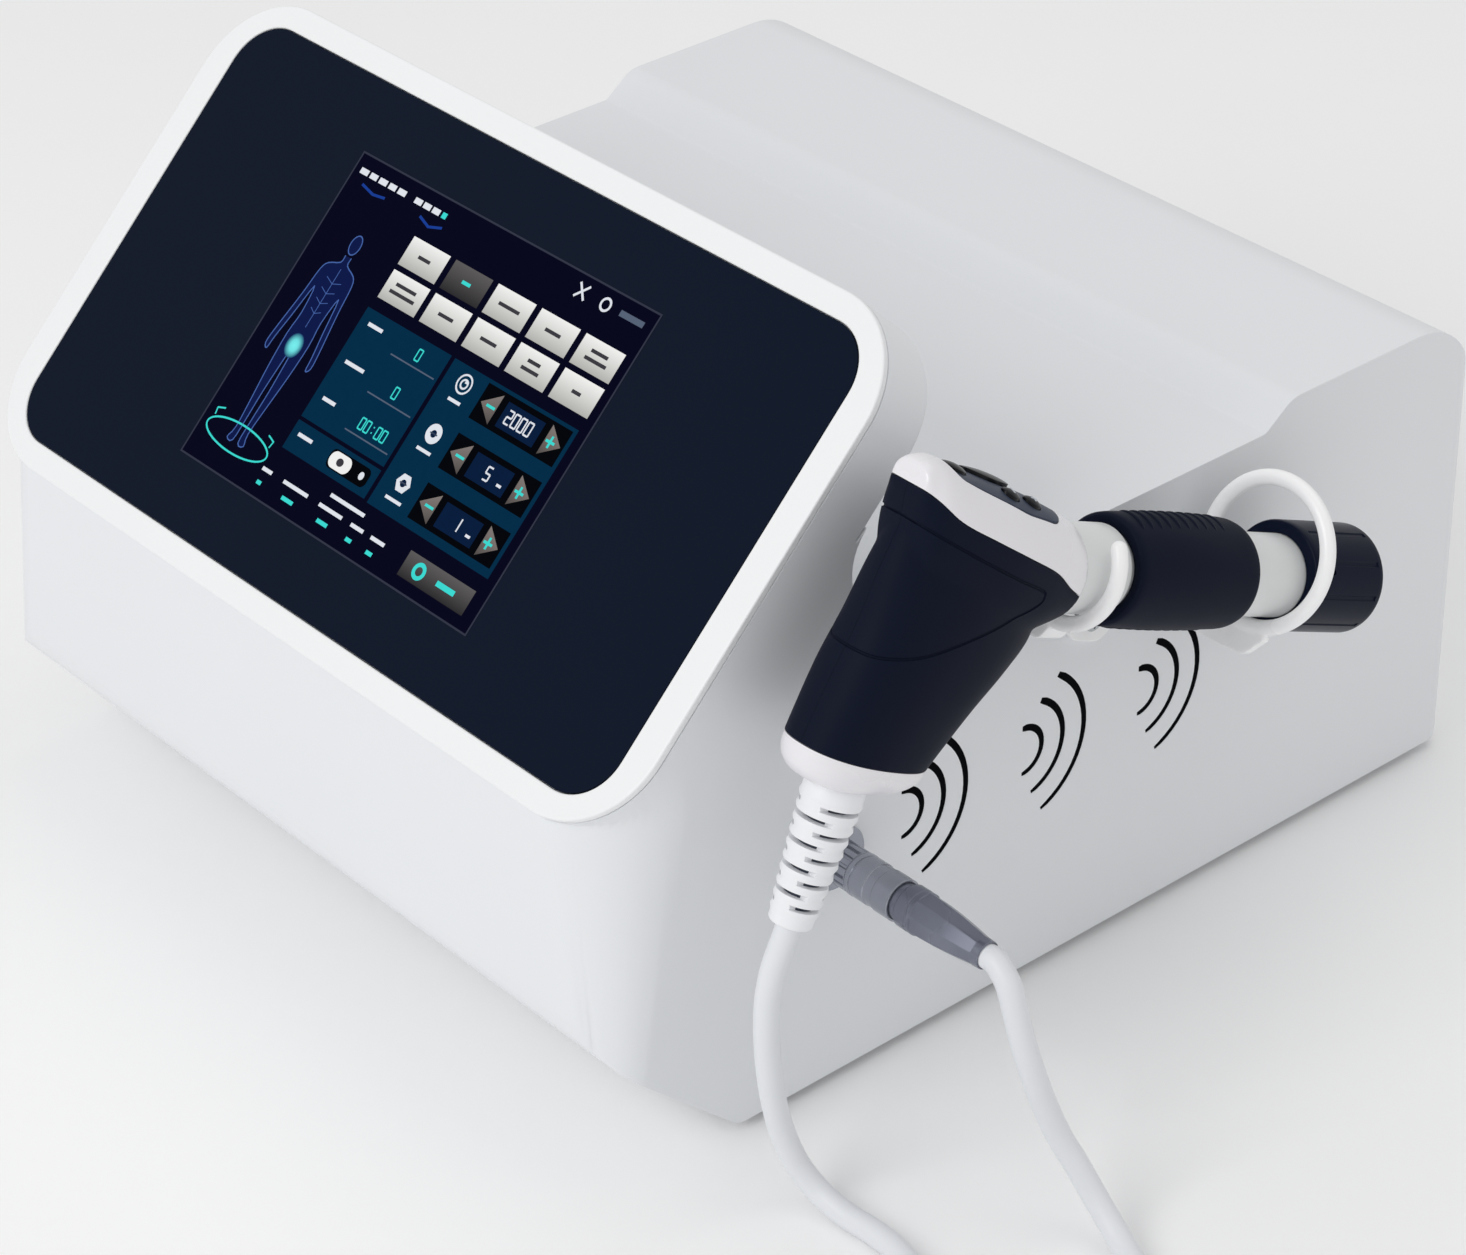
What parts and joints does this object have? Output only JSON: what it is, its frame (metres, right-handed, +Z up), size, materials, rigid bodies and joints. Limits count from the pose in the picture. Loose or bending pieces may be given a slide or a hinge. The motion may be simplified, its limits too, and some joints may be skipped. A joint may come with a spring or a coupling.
{
  "type": "ultrasound and shock-wave therapy unit",
  "caption": "Portable table-top therapy unit: a white console with a tilted touch screen, and a pistol handpiece that hangs in a side holder on its own cord.",
  "frame": {"origin": "middle of the base of the object's box, on the surface that its feet stand on", "axes": "+Z up; -Y is the front, the side that the screen faces; +X is the side that holds the handpiece"},
  "size_m": [0.5877, 0.4695, 0.2774],
  "materials": {
    "casing": "satin white moulded plastic",
    "bezel": "satin white",
    "glass": "polished dark cover glass, opaque at its edges",
    "navy_grip": "soft dark navy overmould",
    "light_cap": "satin off-white",
    "slate": "satin slate",
    "connector": "satin grey metal",
    "cord": "light grey flexible jacket",
    "steel": "satin steel",
    "rubber": "black rubber",
    "board": "green circuit board",
    "black": "black plastic",
    "copper": "enamelled copper winding"
  },
  "bodies": {
    "console": {"main_casing": "casing", "base_plate": "casing", "foot_left_front": "rubber", "foot_left_rear": "rubber", "foot_right_front": "rubber", "foot_right_rear": "rubber", "screen_bezel": "bezel", "touch_glass": "glass", "display_module": "black", "main_board": "board", "power_supply": "steel", "driver_board": "board", "capacitor_left": "black", "capacitor_right": "black", "fan_frame": "black", "speaker": "black", "rear_panel": "casing", "inlet_socket": "black", "switch_frame": "black", "fuse_holder": "black", "side_socket": "connector", "holder_plate": "light_cap", "holder_screw_lower": "steel", "holder_screw_front": "steel", "holder_screw_rear": "steel", "holder_ring": "light_cap", "holder_hook": "light_cap", "plug_body": "connector", "cord_handpiece_run": "cord", "cord_plug_run": "cord", "cord_coil": "cord"},
    "handpiece": {"grip_left_half": "navy_grip", "grip_right_half": "navy_grip", "grip_cap": "light_cap", "grip_collar": "light_cap", "button_pad": "slate", "strain_relief": "cord", "barrel_tube": "steel", "barrel_sleeve": "navy_grip", "end_cap": "slate", "transmitter": "steel", "guide_tube": "steel", "drive_coil": "copper"},
    "fan": {"fan_rotor": "black"},
    "rocker": {"power_switch": "rubber"},
    "trigger": {"trigger_button": "rubber"},
    "front_key": {"front_button": "rubber"},
    "minus_key": {"minus_button": "rubber"},
    "plus_key": {"plus_button": "rubber"},
    "lock_sleeve": {"plug_sleeve": "connector"},
    "striker": {"projectile": "steel"}
  },
  "joints": [
    {"name": "handpiece_lift", "type": "slide", "parent": "console", "child": "handpiece", "axis": [-0.342, 0.3822, 0.8585], "range_m": [0, 0.014]},
    {"name": "fan_spin", "type": "hinge", "parent": "console", "child": "fan", "pos_m": [0.05285, 0.18665, 0.084], "axis": [0, 1, 0], "continuous": true},
    {"name": "power_rocker", "type": "hinge", "parent": "console", "child": "rocker", "pos_m": [-0.13215, 0.19645, 0.088], "axis": [0, 0, 1], "range_deg": [0, 16]},
    {"name": "plug_unlock", "type": "slide", "parent": "console", "child": "lock_sleeve", "axis": [1, 0, 0], "range_m": [0, 0.0022], "stiffness_N_per_m": 800},
    {"name": "striker_travel", "type": "slide", "parent": "handpiece", "child": "striker", "axis": [0, 0.9135, -0.4067], "range_m": [0, 0.087], "stiffness_N_per_m": 20},
    {"name": "trigger_press", "type": "slide", "parent": "handpiece", "child": "trigger", "axis": [0, -0.5858, -0.8105], "range_m": [0, 0.001], "stiffness_N_per_m": 600},
    {"name": "front_press", "type": "slide", "parent": "handpiece", "child": "front_key", "axis": [0, -0.5858, -0.8105], "range_m": [0, 0.001], "stiffness_N_per_m": 600},
    {"name": "minus_press", "type": "slide", "parent": "handpiece", "child": "minus_key", "axis": [0, -0.5858, -0.8105], "range_m": [0, 0.001], "stiffness_N_per_m": 600},
    {"name": "plus_press", "type": "slide", "parent": "handpiece", "child": "plus_key", "axis": [0, -0.5858, -0.8105], "range_m": [0, 0.001], "stiffness_N_per_m": 600}
  ]
}
